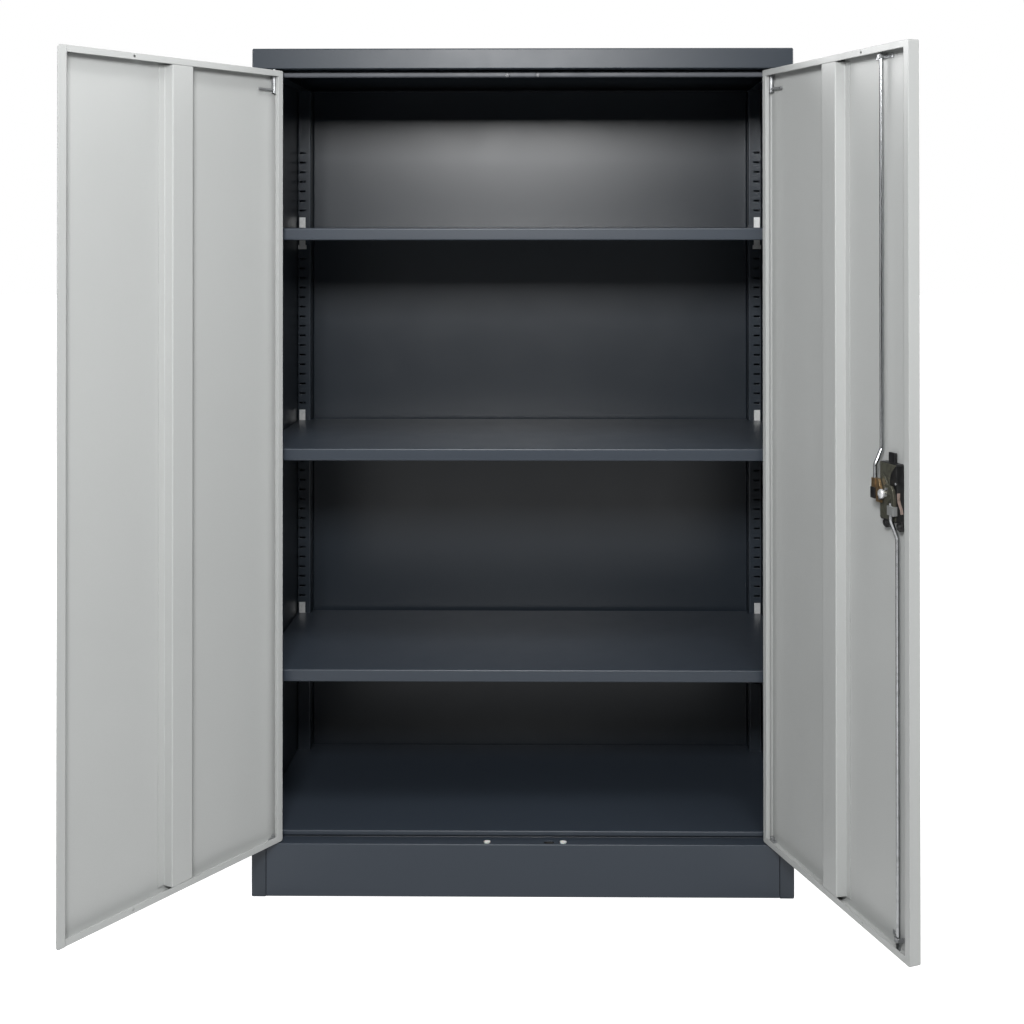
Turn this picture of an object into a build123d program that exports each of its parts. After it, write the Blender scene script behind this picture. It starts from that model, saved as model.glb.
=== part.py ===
"""Two-door steel tool cabinet: folded body, slotted corner posts, three shelves,
pan doors on pivot pins and a rod lock. Millimetres, X across, Y back, Z up.
The origin is on the floor, at the middle of the front plane."""
import os
from math import acos, cos, radians, sin, tan

from build123d import *

# ---------------------------------------------------------------- body sizes
WIDTH, HEIGHT, DEPTH = 900.0, 1408.0, 420.0
SHEET = 1.0                      # body and door sheet
THIN = 0.8                       # shelf and back sheet
BEND = 1.6                       # bend radius at mid thickness
CORNER = 1.6                     # easing of the body's outer corners
CAP_HEIGHT, CAP_HEM = 33.6, 0.7
PLINTH_HEIGHT = 87.7
JAMB = 24.4                      # width of the front jamb
RECESS_DEPTH = 27.3              # recess shelf from the front plane back
LIP_Y = 22.0                     # front face of both door-stop lips
FLOOR_RISE = 12.8                # floor pan's top above the recess shelf
FLOOR_LIP, FLOOR_TURN = 7.5, 24.0
BACK_SETBACK = 8.0               # inside face of the back panel, from the rear plane
CAP_RETURN = 48.0                # front return flange under the cap
SIDE_RETURN = 24.0
HEADER_WEB_Y = 30.5
HEADER_LIP = (12.4, 4.8)         # lower and upper end of the header lip, below the cap
PLINTH_FOOT = 20.0
JOINT = 0.3                      # gap between loosely fitted sheets

# --------------------------------------------------------- posts and shelves
JAMB_TURN = 22.5                 # jamb's return wall, front to back
POST_SETBACK = 37.0              # slotted face of the rear posts, from the rear plane
POST_DEPTH_FRONT = 24.0          # slotted face of the front posts
SIDE_GAP = 1.5                   # posts and shelves to the side wall
BACK_FLANGE = 25.9               # side panel's rear flange and the post wall behind it
SLOT = (11.5, 3.2)
SLOT_INSET = 10.5                # slot centre from the outside of the side wall
SLOT_PITCH = 18.6
SLOT_FIRST, SLOT_HEAD = 230.8, 120.0   # lowest slot; least height over the highest one
SHELF_FIRST = 365.0
SHELF_STEPS = 20                 # slots from one shelf to the next
SHELF_NAMES = ("lower", "middle", "upper")
SHELF_EDGE = 20.5
SHELF_LIP = 14.0
SHELF_SETBACK = (35.0, 12.0)     # from the front plane, from the back panel
CLIP_WIDTH = 11.6
CLIP_SHEET = 1.5
CLIP_RISE = 20.0
CLIP_DROP = 33.7
CLIP_FOOT = (16.0, 7.7, 4.0)     # width, height, thickness
CLIP_LEDGE = 15.0
CLIP_HOOKS = (14.6, -22.6)       # slots used, from the shelf's top face
CLIP_HOOK = (8.0, 1.8, 2.5, 5.0)  # width, height, reach and drop of a hook

# ---------------------------------------------------------------- doors
DOOR_DEPTH = 18.0
DOOR_GAP_TOP, DOOR_GAP_BOTTOM, HINGE_GAP, MEETING_GAP = 3.1, 2.3, 3.0, 1.6
PIN_SETBACK = (8.4, 6.0)         # pivot axis from the hinge edge and the front face
DOOR_CORNER, DOOR_EDGE = 1.8, 0.8
RIM, RIM_HINGE, RIM_FREE = 10.0, 10.5, 12.0
HINGE_LIP = 7.0
STRIP, STRIP_REACH, STRIP_GAP = (14.8, 1.0), 12.8, 0.4   # left door's overlap strip, behind the right
STRIP_CORNER = 3.0
STIFFENER = (176.0, 187.5, 190.0, 229.0, 231.5, 243.0)
STIFFENER_GAP = 0.4
RIM_HOLE, RIM_HOLE_AT = 4.0, 301.0
DRAIN, DRAIN_AT = (14.0, 5.0), 240.0
OPEN_LEFT, OPEN_RIGHT = 124.5, 110.5

# ---------------------------------------------------------------- pivots
PIVOT_DIA, PIVOT_RISE, PIVOT_TAIL = 8.0, 11.3, 5.7   # over and under the recess shelf
RUN_FIT = 0.05                   # radial running clearance
WASHER = (11.0, 2.0)
PIVOT_PLATE = (15.0, 9.6, 3.0)
PIN_DIA, PIN_ENDS = 6.0, (39.4, 8.6)   # under and over the cap's lower face
PIN_FIT = 0.08
HANDLE_DIA, HANDLE_DROP, HANDLE_REACH = 4.0, 34.9, 33.6
SLEEVE_DIA, SLEEVE_DROP = 9.0, 40.4
SLEEVE_BRACKET = (29.4, 12.4)    # lower and upper end, below the cap

# ---------------------------------------------------------------- lock
CAM_X, CAM_Z = 62.6, 732.0
HOUSING = (42.0, 82.0, 12.2)     # width, height, depth inside the door
HOUSING_SHIFT = (-4.0, 3.0)      # housing's middle from the cam axis
HOUSING_BOSSES = (14.0, 9.0, -46.0, (11.0, -23.0))   # width, height, drop, offsets
HOUSING_LUG = (15.0, 14.0, 4.0)
ESCUTCHEON = (48.0, 94.0, 2.5)
CUTOUT = (38.0, 78.0)
LOCK_PLATE = 1.0
PLATE_CURVE = ((7, -6), (14, -14), (17, -24), (16, -33), (11, -39.5), (4, -43), (1, -48))   # from its top free corner
SPINDLE_DIA = 10.0
CAM_SHEET = 1.2
STUD_DIA, STUD_RADIUS, STUD_TOP = 4.0, 11.0, 21.4
STUD_PLAY = 0.5
SCREW = (8.0, 3.0)
GRIP = (84.0, 20.0, 14.0)         # length, width, depth
HUB = (26.0, 9.2)
CYLINDER_DIA, CYLINDER_DEPTH = 18.0, 9.0
KEYWAY = (1.4, 8.0, 4.0)
ROD_DIA = 6.0
ROD_LOW_Y, ROD_HIGH_Y = 8.0, 19.0
ROD_OFFSETS = (21.0, -18.5)      # upper and lower rod from the cam axis
UPPER_CRANK, LOWER_CRANK = (-8.0, 38.0, 61.0), (-10.0, -35.0, -60.0)   # heights from the cam axis
ROD_HOLE = 7.2
ROD_SLOT = (17.0, 10.0)
YOKE_Y, CLAMP_Y = (17.0, 21.0), (15.4, 22.6)
CLAMP_FIT = 0.05
GUIDE_WING, GUIDE_HEIGHT, GUIDE_SHEET = 22.0, 6.0, 1.5
GUIDE_INSETS = (14.9, 17.0)      # from the door's top and bottom edge

# ---------------------------------------------------------------- small pieces
BUFFER = (7.0, 3.6)
BUFFER_X = 25.6
PAD = (11.4, 2.0)
PAD_X, PAD_Y = (-59.1, 67.5), 8.0

# ---------------------------------------------------------------- derived
CAP_Z = HEIGHT - CAP_HEIGHT
JAMB_X = WIDTH / 2 - JAMB
HINGE_X = JAMB_X - HINGE_GAP
DOOR_WIDTH = HINGE_X - MEETING_GAP / 2
DOOR_Z0 = PLINTH_HEIGHT + DOOR_GAP_BOTTOM
DOOR_Z1 = CAP_Z - DOOR_GAP_TOP
DOOR_HEIGHT = DOOR_Z1 - DOOR_Z0
PIN_X, PIN_Y = HINGE_X - PIN_SETBACK[0], PIN_SETBACK[1]
HANDLE_Z, SLEEVE_BOTTOM = CAP_Z - HANDLE_DROP, CAP_Z - SLEEVE_DROP
FLOOR_Z = PLINTH_HEIGHT + FLOOR_RISE
BACK_Y, POST_FACE_Y = DEPTH - BACK_SETBACK, DEPTH - POST_SETBACK
BACK_X = WIDTH / 2 - BACK_FLANGE
SLOT_X = WIDTH / 2 - SLOT_INSET
SLOT_COUNT = int((CAP_Z - SLOT_HEAD - SLOT_FIRST) / SLOT_PITCH) + 1
SHELF_HALF = WIDTH / 2 - SHEET - SIDE_GAP
SHELF_Y = (SHELF_SETBACK[0], BACK_Y - SHELF_SETBACK[1])
UPPER_ROD_X, LOWER_ROD_X = CAM_X + ROD_OFFSETS[0], CAM_X + ROD_OFFSETS[1]
HOUSING_AT = (CAM_X + HOUSING_SHIFT[0], CAM_Z + HOUSING_SHIFT[1])
HOUSING_TOP = SHEET + HOUSING[2]
CAM_Y = HOUSING_TOP + LOCK_PLATE + JOINT
STUD_SIDE = STUD_RADIUS * cos(radians(45))


def across(s):
    """X of a point on the closed right door, s from its hinge edge."""
    return HINGE_X - s


def block(x, y, z):
    """Box between two limits on each axis."""
    size = [abs(hi - lo) for lo, hi in (x, y, z)]
    mid = [(lo + hi) / 2 for lo, hi in (x, y, z)]
    return Pos(*mid) * Box(*size)


def rod_z(x, y, dia, z0, z1):
    """Upright cylinder."""
    return Pos(x, y, (z0 + z1) / 2) * Cylinder(dia / 2, z1 - z0)


def rod_y(x, z, dia, y0, y1):
    """Cylinder from front to back."""
    return Pos(x, (y0 + y1) / 2, z) * Rot(90, 0, 0) * Cylinder(dia / 2, y1 - y0)


def prism_z(x, y, flats, z0, z1):
    """Upright twelve-sided prism, flats across."""
    face = Plane((x, y, z0)) * RegularPolygon(flats / 2, 12, major_radius=False)
    return extrude(face, amount=z1 - z0, dir=(0, 0, 1))


def prism_y(x, z, flats, y0, y1):
    """Twelve-sided prism from front to back, flats across."""
    face = Plane((x, y0, z), x_dir=(1, 0, 0), z_dir=(0, 1, 0)) * RegularPolygon(flats / 2, 12, major_radius=False)
    return extrude(face, amount=y1 - y0, dir=(0, 1, 0))


def tablet(width, height, cut):
    """Flat rectangle with its corners cut."""
    face = Rectangle(width, height)
    return chamfer(face.vertices(), cut)


def eased(points, bend):
    """The points with each fold replaced by three on its bend."""
    route = [Vector(*points[0])]
    for before, at, after in zip(points, points[1:], points[2:]):
        fold = Vector(*at)
        back, on = (Vector(*before) - fold).normalized(), (Vector(*after) - fold).normalized()
        half = acos(max(-1.0, min(1.0, back.dot(on)))) / 2
        middle = (back + on).normalized() * (bend / sin(half) - bend)
        route += [fold + back * (bend / tan(half)), fold + middle, fold + on * (bend / tan(half))]
    return route + [Vector(*points[-1])]


def strip(route, sheet):
    """Outline of a sheet along the route, mitred at each turn."""
    runs = [(b - a).normalized() for a, b in zip(route, route[1:])]
    sides = [Vector(-run.Y, run.X) for run in runs]
    pairs = zip([sides[0], *sides], [*sides, sides[-1]])
    offsets = [(a + b) * (sheet / 2 / (1 + a.dot(b))) for a, b in pairs]
    outer = [point + offset for point, offset in zip(route, offsets)]
    inner = [point - offset for point, offset in zip(route, offsets)]
    return make_face(Polyline(*outer, *reversed(inner), close=True))


def folded(points, sheet, plane, length, bend=BEND):
    """Folded sheet: a section through the points, run along the plane's normal."""
    section = strip(eased(points, bend), sheet)
    return extrude(plane * section, amount=length, dir=tuple(plane.z_dir))


def upright(points, sheet, z0, z1, bend=BEND):
    return folded(points, sheet, Plane.XY.offset(z0), z1 - z0, bend)


def crosswise(points, sheet, half, bend=BEND):
    return folded(points, sheet, Plane.YZ.offset(-half), 2 * half, bend)


def plate(points, y0, y1):
    """Flat outline in X and Z, given thickness from y0 to y1."""
    face = make_face(Polyline(*points, close=True))
    return extrude(Plane.XZ.offset(-y1) * face, amount=y1 - y0)


def both(shape):
    """The shape and its mirror image left to right."""
    return [mirror(shape, about=Plane.YZ), shape]


# ---------------------------------------------------------------- body
def side_panel():
    x, y = WIDTH / 2 - SHEET / 2, SHEET / 2
    jamb = JAMB_X + SHEET / 2
    points = [(jamb, JAMB_TURN), (jamb, y), (x, y), (x, DEPTH - y), (BACK_X, DEPTH - y)]
    panel = upright(points, SHEET, 0, CAP_Z)
    envelope = block((-WIDTH / 2, WIDTH / 2), (-1, DEPTH + 1), (0, HEIGHT))
    low = envelope.edges().filter_by(Axis.Y).group_by(Axis.Z)[0]
    return panel & chamfer(low, CORNER)


def top_cap():
    shell = block((-WIDTH / 2, WIDTH / 2), (0, DEPTH), (CAP_Z, HEIGHT))
    upper = shell.edges().filter_by(Axis.Z) + shell.faces().sort_by(Axis.Z)[-1].edges()
    shell = chamfer(upper, CORNER)
    shell = chamfer(shell.faces().sort_by(Axis.Z)[0].edges(), CAP_HEM)
    half = WIDTH / 2 - SHEET
    shell -= block((-half, half), (SHEET, DEPTH - SHEET), (CAP_Z + SHEET, HEIGHT - SHEET))
    half = WIDTH / 2 - SIDE_RETURN
    shell -= block((-half, half), (CAP_RETURN, DEPTH - SIDE_RETURN), (CAP_Z - 1, CAP_Z + SHEET))
    for side in (-1, 1):
        shell -= rod_z(side * PIN_X, PIN_Y, PIN_DIA + 2 * PIN_FIT, CAP_Z - 1, CAP_Z + 2)
    return shell - rod_slot(UPPER_ROD_X, CAP_Z)


def rod_slot(x, z):
    """Cutter for the slot that a lock rod enters."""
    slot = Plane.XY.offset(z - 2) * tablet(*ROD_SLOT, 3)
    return Pos(x, ROD_LOW_Y, 0) * extrude(slot, amount=4)


def header_rail():
    z = CAP_Z - SHEET / 2
    y = LIP_Y + SHEET / 2
    low, high = CAP_Z - HEADER_LIP[0] + SHEET / 2, CAP_Z - HEADER_LIP[1]
    points = [(CAP_RETURN, z), (HEADER_WEB_Y, z), (HEADER_WEB_Y, low), (y, low), (y, high)]
    return crosswise(points, SHEET, JAMB_X - JOINT)


def plinth():
    y = SHEET / 2
    top = PLINTH_HEIGHT - SHEET / 2
    rear = RECESS_DEPTH + SHEET / 2
    points = [(PLINTH_FOOT, y), (y, y), (y, top), (rear, top), (rear, FLOOR_Z - SHEET)]
    part = crosswise(points, SHEET, JAMB_X - 2 * JOINT)
    for side in (-1, 1):
        part -= rod_z(side * PIN_X, PIN_Y, PIVOT_DIA + 2 * RUN_FIT, top - 2, top + 2)
    return part - rod_slot(LOWER_ROD_X, PLINTH_HEIGHT)


def corner_notches(x, y, z):
    """Cutters for two opposite upright corners."""
    return both(block((x, WIDTH / 2), y, z))


def floor_pan():
    z = FLOOR_Z - SHEET / 2
    y = LIP_Y + SHEET / 2
    rear = BACK_Y - SHEET / 2
    half = WIDTH / 2 - SHEET - JOINT
    part = crosswise([(y, FLOOR_Z - FLOOR_LIP), (y, z), (rear, z), (rear, z - FLOOR_TURN)], SHEET, half)
    span = (z - FLOOR_TURN - 1, FLOOR_Z + 1)
    part -= corner_notches(JAMB_X - JOINT, (LIP_Y - 2, POST_DEPTH_FRONT + JOINT), span)
    part -= corner_notches(BACK_X - SHEET / 2 - JOINT, (POST_FACE_Y - JOINT, BACK_Y + 1), span)
    wall = block((half - SHEET, half), (LIP_Y + 4, POST_FACE_Y - 2), (z - FLOOR_TURN, z))
    return part + both(wall)


def back_panel():
    half = BACK_X - SHEET / 2 - THIN / 2
    y = BACK_Y + THIN / 2
    points = [(-half, DEPTH - SHEET), (-half, y), (half, y), (half, DEPTH - SHEET)]
    return upright(points, THIN, 0, CAP_Z)


def slots(y, step=1):
    """Cutters for one column of slots, or for every second one."""
    heights = [SLOT_FIRST + i * SLOT_PITCH for i in range(0, SLOT_COUNT, step)]
    return [Pos(SLOT_X, y, z) * Box(SLOT[0], 4 * SHEET, SLOT[1]) for z in heights]


def front_post():
    wall = JAMB_X + 1.5 * SHEET
    face = POST_DEPTH_FRONT - SHEET / 2
    outer = WIDTH / 2 - SHEET - SIDE_GAP
    points = [(wall, 3 * SHEET), (wall, face), (outer, face)]
    return upright(points, SHEET, 0, CAP_Z) - slots(face, step=2)


def rear_post():
    face = POST_FACE_Y + SHEET / 2
    outer = WIDTH / 2 - SHEET - SIDE_GAP
    points = [(outer, face), (BACK_X, face), (BACK_X, DEPTH - SHEET)]
    return upright(points, SHEET, 0, CAP_Z) - slots(face)


# ---------------------------------------------------------------- shelves
def shelf(top):
    z = top - THIN / 2
    low = top - SHELF_EDGE + THIN / 2
    y0, y1 = SHELF_Y[0] + THIN / 2, SHELF_Y[1] - THIN / 2
    points = [(y0 + SHELF_LIP, low), (y0, low), (y0, z), (y1, z), (y1, low), (y1 - SHELF_LIP, low)]
    part = crosswise(points, THIN, SHELF_HALF)
    span = (top - SHELF_EDGE - 1, top + 1)
    clip_y = POST_FACE_Y - CLIP_SHEET - 1
    part -= corner_notches(BACK_X - 2, (clip_y, DEPTH), span)
    clip_x = SLOT_X - CLIP_WIDTH / 2 - 3
    part -= corner_notches(clip_x, (y0 - 2, y0 + SHELF_LIP + 1), (span[0], top - THIN))
    edge = block((SHELF_HALF - THIN, SHELF_HALF), (SHELF_Y[0] + 4, clip_y), (low, top - THIN))
    return part + both(edge)


def clip(top, face, way):
    """One support clip on a post face; way is +1 if the shelf lies behind the face."""
    half = CLIP_WIDTH / 2
    x = (SLOT_X - half, SLOT_X + half)
    part = block(x, (face, face + way * CLIP_SHEET), (top - CLIP_DROP, top + CLIP_RISE))
    w, h, t = CLIP_FOOT
    foot = (top - CLIP_DROP - h, top - CLIP_DROP)
    part += block((SLOT_X - w / 2, SLOT_X + w / 2), (face, face + way * t), foot)
    ledge = (top - THIN - CLIP_SHEET, top - THIN)
    part += block(x, (face + way * CLIP_SHEET, face + way * (CLIP_SHEET + CLIP_LEDGE)), ledge)
    w, h, reach, drop = CLIP_HOOK
    x = (SLOT_X - w / 2, SLOT_X + w / 2)
    inside = face - way * (SHEET + JOINT)
    for rise in CLIP_HOOKS:
        z = top + rise
        part += block(x, (face, face - way * reach), (z - h / 2, z + h / 2))
        part += block(x, (inside, face - way * reach), (z - drop, z))
    return part


def clips(top):
    rear = both(clip(top, POST_FACE_Y, -1))
    return rear + both(clip(top, POST_DEPTH_FRONT, 1))


# ---------------------------------------------------------------- doors
def door_pan(right):
    """Closed right-hand pan; the left door's has a strip on its free wall in place of the rim."""
    x = (across(DOOR_WIDTH), HINGE_X)
    part = block(x, (0, DOOR_DEPTH), (DOOR_Z0, DOOR_Z1))
    part = chamfer(part.edges().filter_by(Axis.Y), DOOR_CORNER)
    part = chamfer(part.faces().sort_by(Axis.Y)[0].edges(), DOOR_EDGE)
    z = (DOOR_Z0 + SHEET, DOOR_Z1 - SHEET)
    free = RIM_FREE if right else SHEET
    part -= block((x[0] + SHEET, x[1] - SHEET), (SHEET, DOOR_DEPTH - SHEET), z)
    window = (DOOR_Z0 + RIM, DOOR_Z1 - RIM)
    part -= block((x[0] + free, across(RIM_HINGE)), (DOOR_DEPTH - SHEET, DOOR_DEPTH + 1), window)
    lip = (across(RIM_HINGE), across(RIM_HINGE) + SHEET)
    part += block(lip, (DOOR_DEPTH - HINGE_LIP, DOOR_DEPTH - SHEET), z)
    if not right:
        wall = (x[0], x[0] + SHEET)
        part += block(wall, (DOOR_DEPTH - SHEET, DOOR_DEPTH + STRIP_GAP), (DOOR_Z0 + RIM, DOOR_Z1 - RIM))
    for z in (DOOR_Z0 + RIM / 2, DOOR_Z1 - RIM / 2):
        part -= prism_y(across(RIM_HOLE_AT), z, RIM_HOLE, DOOR_DEPTH - 2, DOOR_DEPTH + 1)
    low = (DOOR_Z0 - 1, DOOR_Z0 + SHEET + 0.5)
    x = across(DRAIN_AT)
    part -= block((x - DRAIN[0] / 2, x + DRAIN[0] / 2), (PIN_Y, PIN_Y + DRAIN[1]), low)
    part -= rod_z(PIN_X, PIN_Y, PIVOT_DIA + 2 * RUN_FIT, *low)
    part -= rod_z(PIN_X, PIN_Y, PIN_DIA + 2 * PIN_FIT, DOOR_Z1 - 2, DOOR_Z1 + 1)
    if right:
        part -= prism_z(UPPER_ROD_X, ROD_LOW_Y, ROD_HOLE, DOOR_Z1 - 2, DOOR_Z1 + 1)
        part -= prism_z(LOWER_ROD_X, ROD_LOW_Y, ROD_HOLE, *low)
        cx, cz = HOUSING_AT
        w, h = CUTOUT
        part -= block((cx - w / 2, cx + w / 2), (-1, SHEET + 0.5), (cz - h / 2, cz + h / 2))
    return part


def overlap_strip():
    """Strip on the left door's free wall that the right door closes over."""
    width, sheet = STRIP
    x, y = across(DOOR_WIDTH) - STRIP_REACH, DOOR_DEPTH + STRIP_GAP
    part = block((x, x + width), (y, y + sheet), (DOOR_Z0 + JOINT, DOOR_Z1 - JOINT))
    return chamfer(part.edges().filter_by(Axis.Y).sort_by(Axis.X)[:2], STRIP_CORNER)


def stiffener():
    """Hat section, its face flush with the rims."""
    foot, face = 1.5 * SHEET, DOOR_DEPTH - SHEET / 2
    rows = (foot, foot, face, face, foot, foot)
    points = [(across(s), y) for s, y in zip(STIFFENER, rows)]
    gap = RIM + STIFFENER_GAP
    return upright(points, SHEET, DOOR_Z0 + gap, DOOR_Z1 - gap, bend=1.2)


def hinge_pin():
    """Bent top pin: the upright end enters the cap, the side arm is pulled down to free it."""
    pin = rod_z(PIN_X, PIN_Y, PIN_DIA, CAP_Z - PIN_ENDS[0], CAP_Z + PIN_ENDS[1])
    arm = Rot(0, 90, 0) * Cylinder(HANDLE_DIA / 2, HANDLE_REACH)
    return pin + Pos(PIN_X - HANDLE_REACH / 2, PIN_Y, HANDLE_Z) * arm


def pin_sleeve():
    """Tube that guides the pin, slotted for the side arm."""
    tube = rod_z(PIN_X, PIN_Y, SLEEVE_DIA, SLEEVE_BOTTOM, DOOR_Z1 - SHEET)
    tube -= rod_z(PIN_X, PIN_Y, PIN_DIA + 2 * PIN_FIT, SLEEVE_BOTTOM - 1, DOOR_Z1)
    half = HANDLE_DIA / 2 + JOINT
    slot = block((PIN_X - SLEEVE_DIA, PIN_X), (PIN_Y - half, PIN_Y + half), (SLEEVE_BOTTOM - 1, HANDLE_Z + half))
    return tube - slot


def sleeve_bracket():
    low, high = (CAP_Z - drop for drop in SLEEVE_BRACKET)
    part = block((across(PIN_SETBACK[0] - 3), across(SHEET)), (PIN_Y - 3, PIN_Y + 3), (low, high))
    return part - rod_z(PIN_X, PIN_Y, SLEEVE_DIA + 0.02, low - 1, high + 1)


def pivot_plate():
    """Thickening plate in the door's lower corner, bored for the pivot."""
    w, d, t = PIVOT_PLATE
    base = DOOR_Z0 + SHEET
    part = block((across(SHEET + w), across(SHEET)), (SHEET, SHEET + d), (base, base + t))
    return part - rod_z(PIN_X, PIN_Y, PIVOT_DIA + 2 * RUN_FIT, base - 1, base + t + 1)


def pivot_pins():
    pin = rod_z(PIN_X, PIN_Y, PIVOT_DIA, PLINTH_HEIGHT - PIVOT_TAIL, PLINTH_HEIGHT + PIVOT_RISE)
    return both(pin)


def washers():
    dia, height = WASHER
    ring = prism_z(PIN_X, PIN_Y, dia, PLINTH_HEIGHT, PLINTH_HEIGHT + height)
    return both(ring - prism_z(PIN_X, PIN_Y, PIVOT_DIA + 2 * RUN_FIT, PLINTH_HEIGHT - 1, PLINTH_HEIGHT + 4))


# ---------------------------------------------------------------- lock
def lock_housing():
    (w, h, d), (x, z) = HOUSING, HOUSING_AT
    part = block((x - w / 2, x + w / 2), (SHEET, SHEET + d), (z - h / 2, z + h / 2))
    part = chamfer(part.edges().filter_by(Axis.Y), 2)
    cw, ch = CUTOUT
    part += block((x - cw / 2 + JOINT, x + cw / 2 - JOINT), (0, SHEET), (z - ch / 2 + JOINT, z + ch / 2 - JOINT))
    dia, height, drop, offsets = HOUSING_BOSSES
    for offset in offsets:
        part += prism_y(x + offset, z + drop, dia, SHEET, SHEET + height)
    lw, lh, lt = HOUSING_LUG
    part += block((x - lw / 2, x + lw / 2), (SHEET + 3, SHEET + 3 + lt), (z + h / 2, z + h / 2 + lh))
    return part - rod_y(CAM_X, CAM_Z, SPINDLE_DIA + 2 * RUN_FIT, -1, SHEET + d + 1)


def lock_plate():
    """Mechanism plate with an S-shaped free side."""
    (w, h, _), (x, z) = HOUSING, HOUSING_AT
    left, right, top, low = x - w / 2 + 1, x + w / 2 - 1, z + h / 2 - 1, z - h / 2 + 2
    curve = [(left, top)] + [(left + dx, top + dz) for dx, dz in PLATE_CURVE]
    rest = Polyline(curve[-1], (curve[-1][0], low), (right, low), (right, top), curve[0])
    face = make_face(Polyline(*curve) + rest)
    part = extrude(Plane.XZ.offset(-HOUSING_TOP - LOCK_PLATE) * face, amount=LOCK_PLATE)
    return part - rod_y(CAM_X, CAM_Z, SPINDLE_DIA + 1, HOUSING_TOP - 1, CAM_Y + 1)


def escutcheon():
    (w, h, t), (x, z) = ESCUTCHEON, HOUSING_AT
    face = Plane.XZ * tablet(w, h, 4)
    part = Pos(x, 0, z) * extrude(face, amount=t)
    part = chamfer(part.faces().sort_by(Axis.Y)[0].edges(), 0.8)
    return part - rod_y(CAM_X, CAM_Z, SPINDLE_DIA + 1, -t - 1, 1)


def spindle():
    return rod_y(CAM_X, CAM_Z, SPINDLE_DIA, -ESCUTCHEON[2] - JOINT, CAM_Y)


def turn_handle():
    """Upright wing grip on a round hub, bored for the key cylinder."""
    back = -ESCUTCHEON[2] - JOINT
    hub_dia, hub_depth = HUB
    length, width, depth = GRIP
    face = Plane.XZ.offset(-back + hub_depth) * tablet(width, length, 6)
    grip = chamfer(extrude(face, amount=depth).faces().sort_by(Axis.Y)[0].edges(), 3)
    part = Pos(CAM_X, 0, CAM_Z) * grip + rod_y(CAM_X, CAM_Z, hub_dia, back - hub_depth, back)
    front = back - hub_depth - depth
    return part - rod_y(CAM_X, CAM_Z, CYLINDER_DIA + 2 * RUN_FIT, front - 1, front + CYLINDER_DEPTH)


def key_cylinder():
    front = -ESCUTCHEON[2] - JOINT - HUB[1] - GRIP[2]
    part = rod_y(CAM_X, CAM_Z, CYLINDER_DIA, front - 1, front + CYLINDER_DEPTH - JOINT)
    w, h, d = KEYWAY
    return part - block((CAM_X - w / 2, CAM_X + w / 2), (front - 2, front - 1 + d), (CAM_Z - h / 2, CAM_Z + h / 2))


def cam():
    """Cam disc with one lobe, drawn as the hull of two many-sided discs."""
    lobe = make_hull((RegularPolygon(13, 16).edges() + (Pos(7, 21) * RegularPolygon(6, 12)).edges()))
    return extrude(Plane((CAM_X, CAM_Y, CAM_Z), x_dir=(1, 0, 0), z_dir=(0, -1, 0)) * lobe, amount=-CAM_SHEET)


def studs():
    """The two drive studs, a quarter turn either side of level."""
    base = CAM_Y + CAM_SHEET
    places = [(CAM_X + STUD_SIDE, CAM_Z - STUD_SIDE), (CAM_X - STUD_SIDE, CAM_Z + STUD_SIDE)]
    return [prism_y(x, z, STUD_DIA, base, STUD_TOP) for x, z in places]


def cam_screw():
    dia, height = SCREW
    base = CAM_Y + CAM_SHEET
    return rod_y(CAM_X, CAM_Z, dia, base, base + height)


def cranked_rod(x, crank, end):
    """Round rod: in front of the mechanism at its inner end, deep in the pan at the outer end."""
    inner, first, second = (CAM_Z + height for height in crank)
    points = [(ROD_HIGH_Y, inner), (ROD_HIGH_Y, first), (ROD_LOW_Y, second), (ROD_LOW_Y, end)]
    path = Plane.YZ.offset(x) * FilletPolyline(*points, radius=9)
    profile = Plane(path @ 0, z_dir=path % 0) * Circle(ROD_DIA / 2)
    return sweep(profile, path=path)


def upper_yoke():
    """Clamped on the upper rod; a fork on its arm straddles the cam's stud."""
    tip, side = CAM_X + STUD_SIDE - 2.6, UPPER_ROD_X - 4.4
    z = CAM_Z - STUD_SIDE
    arm = [(tip, z - 6), (side, z - 6), (side, z + 27), (side - 6, z + 27), (tip, z + 14)]
    part = plate(arm, *YOKE_Y) + block((side, UPPER_ROD_X + 4.6), CLAMP_Y, (z + 14, z + 27))
    half = STUD_DIA / 2 + STUD_PLAY
    part -= block((tip - 1, CAM_X + STUD_RADIUS + half), YOKE_Y, (z - half, z + half))
    return part - rod_z(UPPER_ROD_X, ROD_HIGH_Y, ROD_DIA + 2 * CLAMP_FIT, z, z + 30)


def upper_clip():
    """Stop block on the inner end of the upper rod."""
    end = CAM_Z + UPPER_CRANK[0]
    z = (end - 2, CAM_Z - STUD_SIDE + 14 - JOINT)
    part = block((UPPER_ROD_X - 4, UPPER_ROD_X + 7.4), CLAMP_Y, z)
    return part - rod_z(UPPER_ROD_X, ROD_HIGH_Y, ROD_DIA + 2 * CLAMP_FIT, end, z[1] + 1)


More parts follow.
